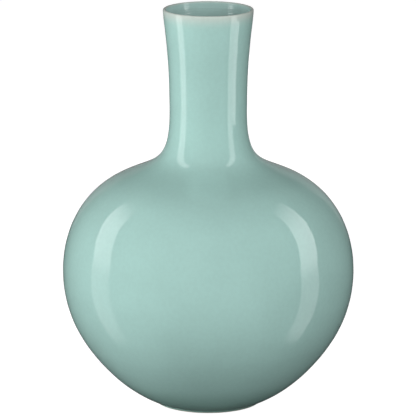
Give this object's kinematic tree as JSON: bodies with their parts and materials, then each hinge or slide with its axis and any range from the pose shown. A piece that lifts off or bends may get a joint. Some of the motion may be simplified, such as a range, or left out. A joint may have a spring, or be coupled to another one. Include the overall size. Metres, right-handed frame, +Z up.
{
  "type": "vase",
  "caption": "Tall porcelain vase with a globular belly, a long straight neck that flares at the mouth, a low foot ring and an even sea-green celadon glaze.",
  "frame": {"origin": "centre of the foot ring, on the plane that the vase stands on", "axes": "+Z up along the vase's own axis, from the foot to the mouth; the vase is the same all round, so +X and +Y are any two level directions at right angles"},
  "size_m": [0.3172, 0.3172, 0.435],
  "materials": {
    "porcelain_body": "unglazed fired porcelain, fine matt",
    "joining_slip": "fired porcelain slip, matt",
    "celadon_coat": "gloss celadon glaze, blue-green",
    "celadon_lip": "gloss celadon glaze, thin and pale over the lip",
    "celadon_lining": "gloss celadon glaze over throwing rings",
    "celadon_base": "gloss celadon glaze"
  },
  "bodies": {
    "root": {"foot_section": "porcelain_body", "lower_belly_section": "porcelain_body", "upper_belly_section": "porcelain_body", "neck_section": "porcelain_body", "foot_slip_joint": "joining_slip", "belly_slip_joint": "joining_slip", "neck_slip_joint": "joining_slip", "outer_glaze": "celadon_coat", "lip_glaze": "celadon_lip", "inner_glaze": "celadon_lining", "base_glaze": "celadon_base"}
  },
  "joints": []
}
